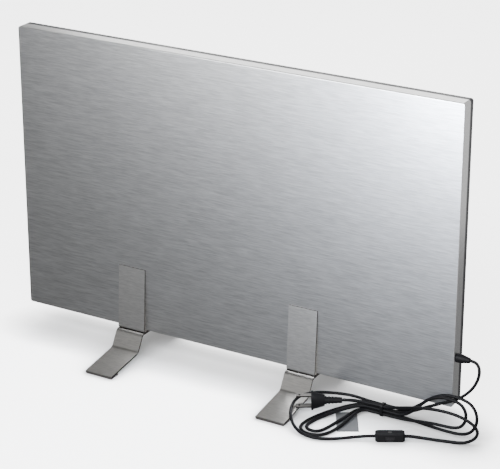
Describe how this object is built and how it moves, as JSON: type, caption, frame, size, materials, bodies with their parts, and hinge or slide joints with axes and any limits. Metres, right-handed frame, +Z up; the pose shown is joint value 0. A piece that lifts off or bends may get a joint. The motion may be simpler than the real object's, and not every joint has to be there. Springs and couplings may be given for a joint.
{
  "type": "panel heater",
  "caption": "Free-standing flat radiant panel heater: brushed metal face, dark rear cover, clip-on bent-strip legs and a tied black mains cord with an in-line rotary switch.",
  "frame": {"origin": "on the floor under the middle of the heater without its cord", "axes": "+X along the panel's width, towards the cord's side; +Y from the radiating face to the rear; +Z up"},
  "size_m": [0.6004, 0.1853, 0.377],
  "materials": {
    "face_metal": "brushed along the width",
    "rear_paint": "satin",
    "frame_steel": "mill",
    "screw_steel": "satin",
    "film": "satin",
    "track": "etched",
    "foil": "bright",
    "board": "fibrous",
    "block_plastic": "matte",
    "live_core": "satin",
    "neutral_core": "satin",
    "black_rubber": "satin",
    "cord_black": "satin",
    "tie_black": "satin",
    "paper": "matte",
    "leg_metal": "satin silver",
    "pad_rubber": "matte",
    "black_plastic": "semi-gloss",
    "wheel_plastic": "matte",
    "contact_brass": "plated"
  },
  "bodies": {
    "panel": {"front_panel": "face_metal", "rear_cover": "rear_paint", "inner_frame": "frame_steel", "rear_screws": "screw_steel", "heating_film": "film", "heating_track": "track", "reflector_foil": "foil", "insulation_board": "board", "terminal_block": "block_plastic", "thermal_cutout": "screw_steel", "thermal_fuse": "screw_steel", "live_wire": "live_core", "neutral_wire": "neutral_core", "strain_relief": "black_rubber", "cord_tail": "cord_black", "cord_lead": "cord_black", "cord_hank": "cord_black", "cord_left": "cord_black", "cord_right": "cord_black", "cord_tie": "tie_black", "cord_tag": "paper", "switch_upper_shell": "black_plastic", "switch_lower_shell": "black_plastic", "switch_screw": "screw_steel", "switch_contacts": "contact_brass", "plug_body": "black_rubber", "plug_live_blade": "contact_brass", "plug_neutral_blade": "contact_brass"},
    "leg_left": {"left_foot_strip": "leg_metal", "left_spring_clip": "leg_metal", "left_rivets": "screw_steel", "left_foot_pads": "pad_rubber"},
    "leg_right": {"right_foot_strip": "leg_metal", "right_spring_clip": "leg_metal", "right_rivets": "screw_steel", "right_foot_pads": "pad_rubber"},
    "wheel": {"switch_wheel": "wheel_plastic"}
  },
  "joints": [
    {"name": "left_leg_slide", "type": "slide", "parent": "panel", "child": "leg_left", "axis": [0, 0, -1], "range_m": [0, 0.085]},
    {"name": "right_leg_slide", "type": "slide", "parent": "panel", "child": "leg_right", "axis": [0, 0, -1], "range_m": [0, 0.085]},
    {"name": "switch_turn", "type": "hinge", "parent": "panel", "child": "wheel", "pos_m": [0.2287, -0.0567, 0.00505], "axis": [0, 0, 1], "continuous": true}
  ]
}
